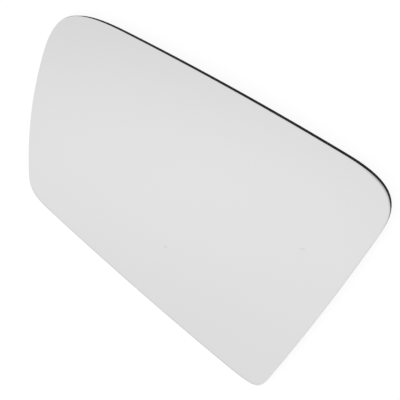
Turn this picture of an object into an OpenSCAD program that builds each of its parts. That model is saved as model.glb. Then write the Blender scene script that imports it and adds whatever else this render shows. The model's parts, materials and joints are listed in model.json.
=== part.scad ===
// Door mirror glass: one domed pane, with its edge ground square to the glass and seamed
// front and back. Millimetres. It lies on its back, mirrored side up, as it comes to
// rest on three of its corners. +X points to its outboard end and +Y to its top.

/* [Outline] */
// Bottom edge, from sharp corner to sharp corner
bottom_len = 129.5; // [100:0.5:160]
// Height of the upper outboard sharp corner above the bottom edge
outboard_h = 102.5; // [90:0.5:140]
// How far the outboard edge leans in at its top
outboard_lean = 3; // [0:0.5:20]
// Height of the upper inboard sharp corner above the bottom edge
inboard_h = 82; // [65:0.5:95]
// How far the upper inboard corner reaches out past the lower one
inboard_reach = 20.5; // [10:0.5:50]

/* [Bow of each edge] */
// Bow of the bottom edge at its middle
bottom_bow = 0.2; // [0.1:0.1:4]
// Bow of the outboard edge
outboard_bow = 1.3; // [0.1:0.1:5]
// Bow of the top edge
top_bow = 2.8; // [0.1:0.1:8]
// Bow of the inboard edge
inboard_bow = 6.1; // [0.1:0.1:9]

/* [Lower inboard corner] */
// Where it starts on the inboard edge, measured from the sharp corner
lower_in_start = 8; // [5:0.5:20]
// Where it ends on the bottom edge
lower_in_end = 12; // [5:0.5:20]
// How full it is, from 0.3 (nearly cut off) to 0.7 (nearly sharp)
lower_in_full = 0.55; // [0.3:0.01:0.7]

/* [Lower outboard corner] */
// Where it starts on the bottom edge, measured from the sharp corner
lower_out_start = 17; // [5:0.5:22]
// Where it ends on the outboard edge
lower_out_end = 8; // [5:0.5:22]
// How full it is
lower_out_full = 0.67; // [0.3:0.01:0.7]

/* [Upper outboard corner] */
// Where it starts on the outboard edge, measured from the sharp corner
upper_out_start = 17.5; // [8:0.5:35]
// Where it ends on the top edge
upper_out_end = 23; // [8:0.5:40]
// How full it is
upper_out_full = 0.55; // [0.3:0.01:0.7]

/* [Upper inboard corner] */
// Where it starts on the top edge, measured from the sharp corner
upper_in_start = 30; // [8:0.5:40]
// Where it ends on the inboard edge
upper_in_end = 22.5; // [8:0.5:32]
// How full it is
upper_in_full = 0.58; // [0.3:0.01:0.7]

/* [Glass] */
// Thickness of the glass
glass_t = 3; // [1.8:0.1:4]
// Radius of the domed mirror face
dome_r = 1400; // [900:50:2500]
// Width of the seam ground along the front of the edge
front_seam = 0.5; // [0.1:0.05:0.8]
// Width of the seam ground along the back of the edge
back_seam = 0.3; // [0.1:0.05:0.8]

/* [Hidden] */

// Points along each edge and round each corner, and segments of the dome
EDGE_STEPS = 14;
CORNER_STEPS = 18;
DOME_FN = 256;
// Room left above and below the pane inside the grinding envelope
ENVELOPE_GAP = 1;

// Sharp corners, counter-clockwise from the lower inboard one seen from the front.
// Edge i runs from corner i to the next: bottom, outboard, top, inboard.
SHARP = [
    [0, 0],
    [bottom_len, 0],
    [bottom_len - outboard_lean, outboard_h],
    [-inboard_reach, inboard_h]
];
BOWS = [bottom_bow, outboard_bow, top_bow, inboard_bow];
// Each corner: [start on the edge before it, end on the edge after it, fullness]
CORNERS = [
    [lower_in_start, lower_in_end, lower_in_full],
    [lower_out_start, lower_out_end, lower_out_full],
    [upper_out_start, upper_out_end, upper_out_full],
    [upper_in_start, upper_in_end, upper_in_full]
];
N = len(SHARP);

// Plane geometry
function unit(v) = v / norm(v);
function outward(v) = unit([v.y, -v.x]);
function circumcentre(a, b, c) =
    let (u = b - a, v = c - a, d = 2 * cross(u, v))
    a + [v.y * (u * u) - u.y * (v * v), u.x * (v * v) - v.x * (u * u)] / d;

// A bowed edge is an arc through two sharp corners: [centre, radius, angle from, angle to]
function edge_arc(a, b, bow) =
    let (
        half = norm(b - a) / 2,
        r = (half * half + bow * bow) / (2 * bow),
        centre = (a + b) / 2 - outward(b - a) * (r - bow),
        from = atan2(a.y - centre.y, a.x - centre.x)
    )
    [centre, r, from, from + 2 * asin(half / r)];
EDGES = [for (i = [0:N - 1]) edge_arc(SHARP[i], SHARP[(i + 1) % N], BOWS[i])];

function on_arc(arc, angle) = arc[0] + arc[1] * [cos(angle), sin(angle)];
function turn_of(arc, distance) = distance / arc[1] * 180 / PI;
function heading(angle) = [-sin(angle), cos(angle)];

// Angles at which corner i leaves the edge before it and joins the edge after it
function corner_start(i) =
    let (arc = EDGES[(i + N - 1) % N]) arc[3] - turn_of(arc, CORNERS[i][0]);
function corner_end(i) = EDGES[i][2] + turn_of(EDGES[i], CORNERS[i][1]);

// A corner is a conic, tangent to both edges. Its fullness is where it crosses the line
// from the middle of its chord (0) to the point where the tangents meet (1).
function corner_point(i, t) =
    let (
        before = EDGES[(i + N - 1) % N],
        a = on_arc(before, corner_start(i)),
        b = on_arc(EDGES[i], corner_end(i)),
        along_a = heading(corner_start(i)),
        along_b = heading(corner_end(i)),
        tip = a + along_a * cross(b - a, along_b) / cross(along_a, along_b),
        pull = 2 * CORNERS[i][2] / (1 - CORNERS[i][2]) * t * (1 - t)
    )
    ((1 - t) * (1 - t) * a + pull * tip + t * t * b) / ((1 - t) * (1 - t) + pull + t * t);

function corner_points(i) = [for (k = [0:CORNER_STEPS]) corner_point(i, k / CORNER_STEPS)];
function edge_points(i) =
    let (from = corner_end(i), to = corner_start((i + 1) % N))
    [for (k = [1:EDGE_STEPS - 1]) on_arc(EDGES[i], from + (to - from) * k / EDGE_STEPS)];

OUTLINE = [for (i = [0:N - 1]) each concat(corner_points(i), edge_points(i))];
COUNT = len(OUTLINE);

// The outline moved inwards by d, along the bisector at each point
function inset(d) = [
    for (i = [0:COUNT - 1])
    OUTLINE[i] - d * outward(OUTLINE[(i + 1) % COUNT] - OUTLINE[(i + COUNT - 1) % COUNT])
];

XS = [for (p = OUTLINE) p.x];
YS = [for (p = OUTLINE) p.y];
MIDDLE = [min(XS) + max(XS), min(YS) + max(YS)] / 2;

// The dome's axis goes through the centre of the circle on three corners, so these
// three are at one height and the pane lies level on them.
CROWN = circumcentre(corner_point(1, 0.5), corner_point(2, 0.5), corner_point(3, 0.5));
BACK_R = dome_r - glass_t;

// Points of the outline on the domed face, sunk into the glass by depth along the dome's
// own radii. So the ground edge stands square to the face all the way round.
function sunk(points, depth) = [
    for (p = points)
    let (
        along = (dome_r - depth) / dome_r,
        out = (p - CROWN) * along,
        up = sqrt(dome_r * dome_r - (p - CROWN) * (p - CROWN)) * along
    )
    [CROWN.x + out.x, CROWN.y + out.y, up - dome_r]
];
function level(points, z) = [for (p = points) [p.x, p.y, z]];

// Rings of the ground edge: the wall ends one seam short of each face, the seams run
// to the faces, and the cut goes on past them by as much again.
WALL_TOP = sunk(OUTLINE, front_seam);
WALL_FOOT = sunk(OUTLINE, glass_t - back_seam);
FRONT_SEAM = sunk(inset(front_seam), 0);
BACK_SEAM = sunk(inset(back_seam), glass_t);
PAST_FRONT = 2 * FRONT_SEAM - WALL_TOP;
PAST_BACK = 2 * BACK_SEAM - WALL_FOOT;
LOWEST = min([for (p = BACK_SEAM) p.z]);

// Closed solid through rings of COUNT points, from the lowest ring to the highest
module ring_solid(rings) {
    last = (len(rings) - 1) * COUNT;
    sides = [
        for (j = [0:len(rings) - 2], i = [0:COUNT - 1])
        let (
            k = (i + 1) % COUNT,
            a = j * COUNT + i,
            b = j * COUNT + k,
            c = a + COUNT,
            d = b + COUNT
        )
        each [[a, c, d], [a, d, b]]
    ];
    foot = [for (i = [0:COUNT - 1]) i];
    top = [for (i = [COUNT - 1:-1:0]) last + i];
    polyhedron(points = [for (ring = rings) each ring], faces = concat(sides, [foot, top]));
}

// The domed blank. The spheres lie on their side, so that their poles stay off the pane.
module blank() {
    translate([CROWN.x, CROWN.y, -dome_r]) rotate([90, 0, 0]) difference() {
        sphere(r = dome_r, $fn = DOME_FN);
        sphere(r = BACK_R, $fn = DOME_FN);
    }
}

// Everything inside the ground edge
module ground_edge() {
    ring_solid([
        level(PAST_BACK, LOWEST - ENVELOPE_GAP),
        PAST_BACK,
        WALL_FOOT,
        WALL_TOP,
        PAST_FRONT,
        level(PAST_FRONT, ENVELOPE_GAP)
    ]);
}

module mirror_glass() {
    color("gainsboro") translate([-MIDDLE.x, -MIDDLE.y, -LOWEST]) intersection() {
        blank();
        ground_edge();
    }
}

mirror_glass();
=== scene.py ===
"""A car door's mirror glass, lying mirrored side up on a white studio floor.

It is one pane: a domed mirror face, a bright seam ground along its front rim, an edge under
black paint that laps onto the seam along the top, and a painted back. Metres, with the pane's
lowest points at z = 0.
"""
import json
import math

import bmesh
import bpy
from mathutils import Matrix, Vector
from mathutils.kdtree import KDTree


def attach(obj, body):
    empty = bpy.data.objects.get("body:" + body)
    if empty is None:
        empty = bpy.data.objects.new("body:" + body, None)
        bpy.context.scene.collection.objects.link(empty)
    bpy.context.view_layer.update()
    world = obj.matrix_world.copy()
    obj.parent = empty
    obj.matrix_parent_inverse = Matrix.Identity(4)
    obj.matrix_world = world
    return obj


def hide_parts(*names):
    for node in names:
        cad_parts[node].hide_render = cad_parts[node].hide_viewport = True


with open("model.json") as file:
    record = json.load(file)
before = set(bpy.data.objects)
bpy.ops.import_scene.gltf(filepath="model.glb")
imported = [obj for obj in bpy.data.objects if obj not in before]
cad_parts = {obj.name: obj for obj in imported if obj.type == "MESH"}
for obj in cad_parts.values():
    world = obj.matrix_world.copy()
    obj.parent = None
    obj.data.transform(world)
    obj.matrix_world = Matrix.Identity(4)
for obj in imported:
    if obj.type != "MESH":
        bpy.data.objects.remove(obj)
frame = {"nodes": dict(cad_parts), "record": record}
bpy.context.view_layer.update()

MM = 0.001

# Camera, with its angles in degrees. The azimuth turns from +X towards +Y.
CAMERA_AIM = Vector((0.01297, 0.0, 0.0))
CAMERA_DISTANCE = 0.24893
CAMERA_AZIMUTH = 64.989
CAMERA_ELEVATION = 56.538
CAMERA_ROLL = -119.680
CAMERA_LENS = 58.5
CAMERA_NEAR, CAMERA_FAR = 0.01, 20.0
FILM_WIDTH = 36.0

# The pane: its thickness, the radius of the domed face and the seams along its rims
GLASS = 3.0 * MM
DOME_RADIUS = 1400.0 * MM
FRONT_SEAM = 0.50 * MM
BACK_SEAM = 0.30 * MM
# Rounding left between a seam and the upright edge
ARRIS = 0.05 * MM
# Each step of the solid's outline is cut into one more than this
OUTLINE_CUTS = 2
# Width of the plain band round each face, the grid of the face inside it, and how close
# two of the grid's points must be to be joined
FACE_BAND = 1.2 * MM
FACE_GRID = 3.0 * MM
FACE_WELD = 0.2 * MM
# Points nearer than this are at one place
ONE_PLACE = 0.001 * MM
# A normal's upright part: less than the first on the solid's ground edge, and more than the
# second on the two faces of the flat pane
EDGE_NORMAL_Z, FACE_NORMAL_Z = 0.15, 0.99
# Least turn from one face to the next at a rim
RIM_TURN = math.radians(20.0)

# Places of the four finishes in the pane's material slots
MIRROR_FACE, FROSTED_SEAM, PAINTED_EDGE, PAINTED_BACK = range(4)
BLACK_PAINT = 0.002
# Specks of dirt on the face: the middle of each and how far it reaches
SPECKS = (
    (Vector((55.8, 13.8, 4.4)) * MM, 0.75 * MM),
    (Vector((55.2, 13.2, 4.4)) * MM, 0.80 * MM),
    (Vector((12.2, -23.5, 5.2)) * MM, 1.20 * MM),
)

# Floor: the white that the camera and the mirror see, how much the light adds to it outside
# the pane's shadow, and the grey that it throws back on the pane
FLOOR_SIZE = 6.0
FLOOR_WHITE, FLOOR_LIT, FLOOR_BOUNCE = 0.9, 0.13, 0.8
# Lamp, with its angles in degrees
KEY_AZIMUTH, KEY_ELEVATION, KEY_DISTANCE = -112.0, 30.0, 1.2
KEY_LENGTH, KEY_HEIGHT, KEY_WATTS = 1.2, 0.6, 5.0
# Surroundings: how strong they are as light and in the mirror, and the side towards which
# they brighten in the mirror
DAYLIGHT, MIRRORED_LIGHT = 0.8, 0.740
BRIGHTER_SIDE = Vector((0.1, -0.1, 0.0))
# Glow in the mirror, on the sky laid flat as a disc with a radius of 1: its middle, its
# heading in degrees, its reach along and across, and its strength
GLOW_MIDDLE = Vector((-0.374, -0.471, 0.0))
GLOW_HEADING = 14.41
GLOW_LENGTH, GLOW_WIDTH = 0.943, 0.336
GLOW_STRENGTH = 0.246


def direction(azimuth, elevation):
    """The direction at an azimuth and an elevation in degrees."""
    a, e = math.radians(azimuth), math.radians(elevation)
    return Vector((math.cos(a) * math.cos(e), math.sin(a) * math.cos(e), math.sin(e)))


def grey(level):
    """A plain grey, as a socket takes it."""
    return level, level, level, 1.0


def link(name, data):
    thing = bpy.data.objects.new(name, data)
    bpy.context.collection.objects.link(thing)
    return thing


def stand(thing, aim, azimuth, elevation, distance, roll=0.0):
    """Puts a camera or a lamp round a point and turns it to face that point."""
    away = direction(azimuth, elevation)
    facing = (-away).to_track_quat("-Z", "Y").to_matrix()
    facing = facing @ Matrix.Rotation(math.radians(roll), 3, "Z")
    thing.matrix_world = Matrix.Translation(aim + away * distance) @ facing.to_4x4()


def add_camera():
    lens = bpy.data.cameras.new("camera")
    lens.lens, lens.sensor_width = CAMERA_LENS, FILM_WIDTH
    lens.clip_start, lens.clip_end = CAMERA_NEAR, CAMERA_FAR
    camera = link("camera", lens)
    stand(camera, CAMERA_AIM, CAMERA_AZIMUTH, CAMERA_ELEVATION, CAMERA_DISTANCE, CAMERA_ROLL)
    bpy.context.scene.camera = camera


add_camera()


class Signal:
    """What comes out of a shader node. Arithmetic on signals adds Math nodes."""

    def __init__(self, finish, socket):
        self.finish, self.socket = finish, socket

    def math(self, operation, first, second):
        return self.finish.node("ShaderNodeMath", {"operation": operation}, {0: first, 1: second})

    def __add__(self, other):
        return self.math("ADD", self, other)

    def __sub__(self, other):
        return self.math("SUBTRACT", self, other)

    def __rsub__(self, other):
        return self.math("SUBTRACT", other, self)

    def __mul__(self, other):
        return self.math("MULTIPLY", self, other)

    def __rtruediv__(self, other):
        return self.math("DIVIDE", other, self)

    __radd__, __rmul__ = __add__, __mul__


class Finish:
    """The node tree of a material or of the world."""

    def __init__(self, owner):
        owner.use_nodes = True
        self.tree = owner.node_tree
        self.tree.nodes.clear()

    def node(self, kind, settings=None, sockets=None, output=0):
        """Adds a node: its settings first, then the values or links of its sockets."""
        node = self.tree.nodes.new(kind)
        for name, value in (settings or {}).items():
            setattr(node, name, value)
        for name, value in (sockets or {}).items():
            if isinstance(value, Signal):
                self.tree.links.new(value.socket, node.inputs[name])
            else:
                node.inputs[name].default_value = value
        return Signal(self, node.outputs[output]) if node.outputs else node

    def vector(self, operation, first, second, output="Vector"):
        return self.node(
            "ShaderNodeVectorMath", {"operation": operation}, {0: first, 1: second}, output
        )

    def noise(self, place, size, detail=2.0, roughness=0.5):
        """Noise from 0 to 1 in patches of about `size`, which is one length or three."""
        sizes = size if isinstance(size, tuple) else (size,) * 3
        place = self.vector("MULTIPLY", place, tuple(1.0 / s for s in sizes))
        return self.node(
            "ShaderNodeTexNoise",
            {"noise_dimensions": "3D"},
            {"Vector": place, "Scale": 1.0, "Detail": detail, "Roughness": roughness},
        )

    def rise(self, signal, low, high):
        """0 up to `low`, 1 from `high` on, and smooth between them."""
        return self.node(
            "ShaderNodeMapRange",
            {"interpolation_type": "SMOOTHSTEP"},
            {"Value": signal, "From Min": low, "From Max": high},
        )

    def blend(self, mask, first, second):
        """The first colour where the mask is 0, the second where it is 1."""
        return self.node("ShaderNodeMix", {"data_type": "RGBA"}, {0: mask, 6: first, 7: second}, 2)

    def bump(self, height, depth):
        """A surface that stands `depth` higher where `height` is 1 than where it is 0."""
        return self.node("ShaderNodeBump", None, {"Height": height, "Distance": depth})

    def place(self):
        return self.node("ShaderNodeTexCoord", output="Object")

    def rim_place(self):
        """Distance along the rim and height on it, in metres."""
        return self.node("ShaderNodeUVMap", {"uv_map": "rim"})

    def part(self, vector, axis):
        """One part of a vector: X, Y or Z."""
        return self.node("ShaderNodeSeparateXYZ", None, {0: vector}, axis)

    def ray(self, kind):
        """1 for rays of a kind, such as Camera, and 0 for all others."""
        return self.node("ShaderNodeLightPath", output=f"Is {kind} Ray")

    def surface(self, shader):
        self.node("ShaderNodeOutputMaterial", None, {"Surface": shader})


def material(name):
    """A material and its node tree."""
    made = bpy.data.materials.new(name)
    return made, Finish(made)


def shaded(finish, **sockets):
    """Ends a tree in a Principled shader: spaces in a socket's name are written as _."""
    names = {name.replace("_", " "): value for name, value in sockets.items()}
    finish.surface(finish.node("ShaderNodeBsdfPrincipled", None, names))


def mirror_face():
    """Chromed glass: a film a shade uneven, a fine wiping haze and the faint waves of bent glass.

    Along the bottom, a line just inside the seam is painted darker: painted shade of the far
    edge. A few specks of dirt lie on the face.
    """
    made, finish = material("mirror_face")
    place = finish.place()
    film = finish.noise(place, 45 * MM)
    haze = finish.noise(place, (9 * MM, 2.5 * MM, 9 * MM), 3.0) * finish.noise(place, 30 * MM)
    waves = finish.noise(place, 40 * MM, 0.0)
    inside = finish.part(finish.rim_place(), "Y") - GLASS
    at_bottom = 1.0 - finish.rise(finish.part(place, "Y"), -49 * MM, -45 * MM)
    # Painted shade: a darker line just inside the seam, only along the bottom edge
    painted_bottom_shade = at_bottom * finish.rise(inside, 0.1 * MM, 0.4 * MM)
    painted_bottom_shade = painted_bottom_shade * (1.0 - finish.rise(inside, 0.4 * MM, 0.9 * MM))
    clean = 1.0
    for middle, reach in SPECKS:
        away = finish.vector("DISTANCE", place, middle, "Value")
        clean = clean * finish.rise(away, 0.0, reach)
    colour = finish.blend(film, grey(0.747), grey(0.760))
    # The grey of the painted shade along the bottom
    colour = finish.blend(painted_bottom_shade, colour, grey(0.64))
    shaded(
        finish,
        Base_Color=finish.blend(clean, grey(0.68), colour),
        Metallic=1.0,
        Roughness=0.012 + 0.05 * haze,
        Normal=finish.bump(waves, 0.002 * MM),
        Coat_Weight=1.0,
        Coat_Roughness=0.0,
        Coat_IOR=1.52,
    )
    return made


def frosted_seam():
    """Bare ground glass with the belt's lines along it.

    Along the top, the black edge paint laps a little way onto it. Round the upper outboard
    corner, past the paint, painted shade greys the glass: the darker surroundings that the turning
    seam reflects.
    """
    made, finish = material("frosted_seam")
    rim = finish.rim_place()
    up_the_seam = finish.part(rim, "Y") - (GLASS - FRONT_SEAM)
    place = finish.place()
    x, y = finish.part(place, "X"), finish.part(place, "Y")
    lines = finish.noise(rim, (4 * MM, 0.035 * MM, 1.0), 3.0, 0.6)
    cloud = finish.noise(rim, (6 * MM, 0.5 * MM, 1.0))
    ragged = finish.noise(rim, (1.5 * MM, 1.0, 1.0), 3.0)
    # The upper outboard corner, where painted shade greys the seam and the paint laps less far
    at_corner = finish.rise(x, 54 * MM, 60 * MM) * finish.rise(y, 42 * MM, 49 * MM)
    at_top = finish.rise(y - 0.5 * x, 8 * MM, 12 * MM)
    # Share of the seam's width that the paint covers. It grows from the inboard end.
    lap = 0.28 * finish.rise(x, -75 * MM, -69 * MM) + 0.09 * finish.rise(x, -50 * MM, -10 * MM)
    lap = lap * at_top * (1.0 - 0.4 * at_corner) + 0.12 * (ragged - 0.5)
    bare = finish.rise(up_the_seam - FRONT_SEAM * lap, -0.02 * MM, 0.02 * MM)
    glass = finish.blend(0.6 * lines + 0.4 * cloud, grey(0.78), grey(0.95))
    # Painted shade round the upper outboard corner, standing for a darker reflection
    painted_corner_shade = at_corner * (0.8 + 0.2 * cloud)
    glass = finish.blend(painted_corner_shade, glass, grey(0.60))
    shaded(
        finish,
        Base_Color=finish.blend(bare, grey(BLACK_PAINT), glass),
        Roughness=0.40 + 0.2 * lines,
        Normal=finish.bump(lines, 0.004 * MM),
        Specular_IOR_Level=0.1,
    )
    return made


def painted_edge():
    """Black paint over the ground edge. Ground glass shows at a few worn places near its top."""
    made, finish = material("painted_edge")
    rim = finish.rim_place()
    lines = finish.noise(rim, (6 * MM, 0.05 * MM, 1.0), 3.0, 0.6)
    cover = finish.noise(rim, (12 * MM, 0.8 * MM, 1.0))
    worn = finish.rise(finish.noise(rim, (0.7 * MM, 0.15 * MM, 1.0), 2.0), 0.66, 0.74)
    worn = worn * finish.rise(finish.part(rim, "Y"), 2.2 * MM, 2.5 * MM)
    paint = finish.blend(cover, grey(BLACK_PAINT), (0.007, 0.007, 0.008, 1.0))
    shaded(
        finish,
        Base_Color=finish.blend(worn, paint, (0.14, 0.145, 0.15, 1.0)),
        Roughness=0.38 + 0.25 * lines,
        Normal=finish.bump(lines, 0.004 * MM),
        Specular_IOR_Level=0.02,
    )
    return made


def painted_back():
    """Dark grey protective paint, sprayed: a fine orange peel and a slight mottling."""
    made, finish = material("painted_back")
    place = finish.place()
    mottling = finish.noise(place, 18 * MM, 3.0)
    peel = finish.noise(place, 0.9 * MM)
    specks = finish.rise(finish.noise(place, 0.35 * MM, 1.0), 0.62, 0.75)
    dark, light = (0.030, 0.031, 0.033, 1.0), (0.060, 0.062, 0.065, 1.0)
    shaded(
        finish,
        Base_Color=finish.blend(0.75 * mottling + 0.25 * specks, dark, light),
        Roughness=0.40 + 0.2 * peel + 0.1 * mottling,
        Normal=finish.bump(peel, 0.02 * MM),
        Specular_IOR_Level=0.4,
    )
    return made


def outline_of(solid, dome_centre):
    """The outline of the domed face seen from the front, in order, with its points level.

    They are the upper corners of the solid's ground edge, brought to the face along the radii
    that the edge follows.
    """
    shell = bmesh.new()
    shell.from_mesh(solid.data)
    bmesh.ops.remove_doubles(shell, verts=shell.verts, dist=ONE_PLACE)
    edge = [face for face in shell.faces if abs(face.normal.z) < EDGE_NORMAL_Z]
    radii = {vert: vert.co - dome_centre for face in edge for vert in face.verts}
    upper = [radius for radius in radii.values() if radius.length > DOME_RADIUS - GLASS / 2]
    shell.free()
    outline = [(dome_centre + radius.normalized() * DOME_RADIUS).xy for radius in upper]
    return sorted(outline, key=lambda xy: math.atan2(xy.y, xy.x))


def rim_edges(pane, height):
    """The edges of the rim that lies at a height on the flat pane."""
    return [
        edge for edge in pane.edges
        if all(abs(v.co.z - height) < ONE_PLACE for v in edge.verts)
        and edge.calc_face_angle(0.0) > RIM_TURN
    ]


def bevel(pane, edges, width, segments):
    bmesh.ops.bevel(
        pane, geom=edges, offset=width, segments=segments, profile=0.5,
        affect="EDGES", offset_type="OFFSET", material=-1,
    )


def grid_face(pane, face):
    """Leaves a plain band round a flat face and cuts the rest into a grid for the dome.

    Points and faces are sorted by place before they are joined or cut up, so that every run
    gives the same mesh.
    """
    bmesh.ops.inset_region(pane, faces=[face], thickness=FACE_BAND, use_even_offset=True)
    inner = [face]
    for axis in (Vector((1.0, 0.0, 0.0)), Vector((0.0, 1.0, 0.0))):
        reach = max(abs(v.co.dot(axis)) for v in face.verts)
        steps = int(reach / FACE_GRID) + 1
        for k in range(-steps, steps + 1):
            geometry = {g for part in inner for g in (part, *part.edges, *part.verts)}
            cut = bmesh.ops.bisect_plane(
                pane, geom=list(geometry), dist=ONE_PLACE,
                plane_co=axis * (k + 0.5) * FACE_GRID, plane_no=axis,
            )
            inner = [g for g in cut["geom"] if isinstance(g, bmesh.types.BMFace)]
    corners = sorted({v for part in inner for v in part.verts}, key=lambda v: v.co[:])
    bmesh.ops.remove_doubles(pane, verts=corners, dist=FACE_WELD)
    touched = {near for vert in corners if vert.is_valid for near in vert.link_faces}
    many_sided = [near for near in touched if len(near.verts) > 4]
    many_sided.sort(key=lambda near: near.calc_center_median()[:])
    bmesh.ops.triangulate(pane, faces=many_sided, ngon_method="BEAUTY")


def map_rim(pane, outline):
    """Gives the pane's front and edge their own map, in metres.

    u is the distance round the pane. v is the height on the flat pane, and goes on over the
    face as the distance from the seam.
    """
    along, round_pane = [0.0], KDTree(len(outline))
    for here, ahead in zip(outline, outline[1:] + outline[:1]):
        round_pane.insert(here, len(along) - 1)
        along.append(along[-1] + (ahead - here).length)
    round_pane.balance()
    whole = along[-1]
    rim_map = pane.loops.layers.uv.new("rim")
    for face in pane.faces:
        if face.material_index == PAINTED_BACK:
            continue
        nearest = [round_pane.find((*loop.vert.co.xy, 0.0)) for loop in face.loops]
        places = [along[index] for _, index, _ in nearest]
        over_the_join = max(places) - min(places) > whole / 2
        for loop, u, (_, _, inside) in zip(face.loops, places, nearest):
            if over_the_join and u < whole / 2:
                u += whole
            past_the_seam = inside - FRONT_SEAM if face.material_index == MIRROR_FACE else 0.0
            loop[rim_map].uv = (u, loop.vert.co.z + past_the_seam)


def dome(pane, dome_centre):
    """Bends the flat pane onto its dome. What stood upright now lies along the dome's radii."""
    for vert in pane.verts:
        away = vert.co.xy - dome_centre.xy
        rise = math.sqrt(DOME_RADIUS ** 2 - away.length_squared)
        depth = GLASS - vert.co.z
        radius = Vector((away.x, away.y, rise)) * (1.0 - depth / DOME_RADIUS)
        vert.co = dome_centre + radius


def put_in_order(parts, place):
    """Sorts a mesh's points, edges or faces by place, so that every run writes them alike."""
    ranks = {part: rank for rank, part in enumerate(sorted(parts, key=place))}
    parts.sort(key=ranks.get)


def make_pane(solid, dome_centre):
    """The mirror glass, built flat from its outline, ground along its rims and then domed."""
    pane = bmesh.new()
    ring = [pane.verts.new((*place, 0.0)) for place in outline_of(solid, dome_centre)]
    edges = [pane.edges.new(pair) for pair in zip(ring, ring[1:] + ring[:1])]
    raised = bmesh.ops.extrude_edge_only(pane, edges=edges)["geom"]
    raised = [g for g in raised if isinstance(g, bmesh.types.BMVert)]
    bmesh.ops.translate(pane, verts=raised, vec=(0.0, 0.0, GLASS))
    bmesh.ops.recalc_face_normals(pane, faces=pane.faces)
    pane.normal_update()
    level = [e for e in pane.edges if abs(e.verts[0].co.z - e.verts[1].co.z) < GLASS / 2]
    bmesh.ops.subdivide_edges(
        pane, edges=level, cuts=OUTLINE_CUTS, smooth=1.0, smooth_falloff="LINEAR"
    )
    foot = [v for v in pane.verts if v.co.z < GLASS / 2]
    outline = [v.co.copy() for v in sorted(foot, key=lambda v: math.atan2(v.co.y, v.co.x))]

    open_edges = [edge for edge in pane.edges if edge.is_boundary]
    bmesh.ops.edgeloop_fill(pane, edges=open_edges)
    bmesh.ops.recalc_face_normals(pane, faces=pane.faces)
    bevel(pane, rim_edges(pane, GLASS), FRONT_SEAM, 1)
    bevel(pane, rim_edges(pane, 0.0), BACK_SEAM, 1)
    for arris in (GLASS - FRONT_SEAM, BACK_SEAM):
        bevel(pane, rim_edges(pane, arris), ARRIS, 2)
    for face in [face for face in pane.faces if abs(face.normal.z) > FACE_NORMAL_Z]:
        grid_face(pane, face)

    for face in pane.faces:
        if abs(face.normal.z) > FACE_NORMAL_Z:
            face.material_index = MIRROR_FACE if face.normal.z > 0 else PAINTED_BACK
        else:
            in_seam = face.calc_center_median().z > GLASS - FRONT_SEAM
            face.material_index = FROSTED_SEAM if in_seam else PAINTED_EDGE
        face.smooth = True
    for edge in pane.edges:
        kinds = {face.material_index for face in edge.link_faces}
        edge.smooth = len(kinds) == 1 or kinds == {FROSTED_SEAM, PAINTED_EDGE}
    map_rim(pane, outline)
    dome(pane, dome_centre)
    put_in_order(pane.verts, lambda vert: vert.co[:])
    put_in_order(pane.edges, lambda edge: (edge.verts[0].co + edge.verts[1].co)[:])
    put_in_order(pane.faces, lambda face: face.calc_center_median()[:])

    mesh = bpy.data.meshes.new("mirror_pane")
    pane.to_mesh(mesh)
    pane.free()
    for finish in (mirror_face(), frosted_seam(), painted_edge(), painted_back()):
        mesh.materials.append(finish)
    piece = link("mirror_pane", mesh)
    flat_faces = piece.modifiers.new("flat_faces", "WEIGHTED_NORMAL")
    flat_faces.keep_sharp = True
    return piece


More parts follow.
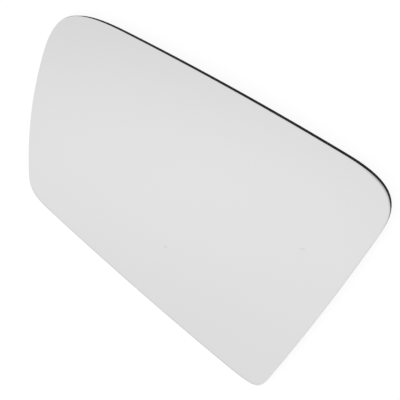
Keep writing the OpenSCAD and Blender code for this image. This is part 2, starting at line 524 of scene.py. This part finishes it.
def add_floor():
    """White floor. The camera sees it at the studio's white, with the pane's shadow on it."""
    ground = bmesh.new()
    bmesh.ops.create_grid(ground, x_segments=1, y_segments=1, size=FLOOR_SIZE / 2)
    mesh = bpy.data.meshes.new("studio_floor")
    ground.to_mesh(mesh)
    ground.free()
    made, finish = material("studio_floor")
    white = finish.node("ShaderNodeEmission", None, {"Color": grey(1.0), "Strength": FLOOR_WHITE})
    lit = finish.node("ShaderNodeBsdfDiffuse", None, {"Color": grey(FLOOR_LIT)})
    shown = finish.node("ShaderNodeAddShader", None, {0: white, 1: lit})
    plain = finish.node("ShaderNodeBsdfDiffuse", None, {"Color": grey(FLOOR_BOUNCE)})
    looked_at = finish.ray("Camera") + finish.ray("Glossy")
    finish.surface(finish.node("ShaderNodeMixShader", None, {0: looked_at, 1: plain, 2: shown}))
    mesh.materials.append(made)
    floor = link("studio_floor", mesh)


def add_light():
    """Soft white surroundings with one wide glow, and a wide soft lamp low down.

    The glow shows only in reflections, and the lamp in none.
    """
    world = bpy.data.worlds.new("studio")
    bpy.context.scene.world = world
    finish = Finish(world)
    towards = finish.node("ShaderNodeTexCoord", output="Generated")
    off = finish.vector("SUBTRACT", towards, GLOW_MIDDLE)
    heading = direction(GLOW_HEADING, 0.0)
    crosswise = direction(GLOW_HEADING + 90.0, 0.0)
    along = finish.vector("DOT_PRODUCT", off, heading / GLOW_LENGTH, "Value")
    across = finish.vector("DOT_PRODUCT", off, crosswise / GLOW_WIDTH, "Value")
    glow = GLOW_STRENGTH / (1.0 + across * across + along * along)
    sideways = finish.vector("DOT_PRODUCT", towards, BRIGHTER_SIDE, "Value")
    mirrored = finish.ray("Glossy")
    light = mirrored * (MIRRORED_LIGHT + sideways + glow) + (1.0 - mirrored) * DAYLIGHT
    white = finish.ray("Camera") + finish.ray("Transmission")
    strength = white + (1.0 - white) * light
    sky = finish.node("ShaderNodeBackground", None, {"Color": grey(1.0), "Strength": strength})
    finish.node("ShaderNodeOutputWorld", None, {"Surface": sky})

    lamp = bpy.data.lights.new("soft_key", "AREA")
    lamp.shape, lamp.size, lamp.size_y = "RECTANGLE", KEY_LENGTH, KEY_HEIGHT
    lamp.energy = KEY_WATTS
    key = link("soft_key", lamp)
    key.visible_glossy = False
    stand(key, Vector(), KEY_AZIMUTH, KEY_ELEVATION, KEY_DISTANCE)


back_crown = Vector(frame["record"]["mounts"][0]["pos_m"])
dome_centre = back_crown + Vector((0.0, 0.0, GLASS - DOME_RADIUS))
pane = make_pane(frame["nodes"]["mirror_glass"], dome_centre)
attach(pane, "root")
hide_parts("mirror_glass")
add_floor()
add_light()
bpy.context.scene.view_settings.view_transform = "Standard"

bpy.context.view_layer.update()
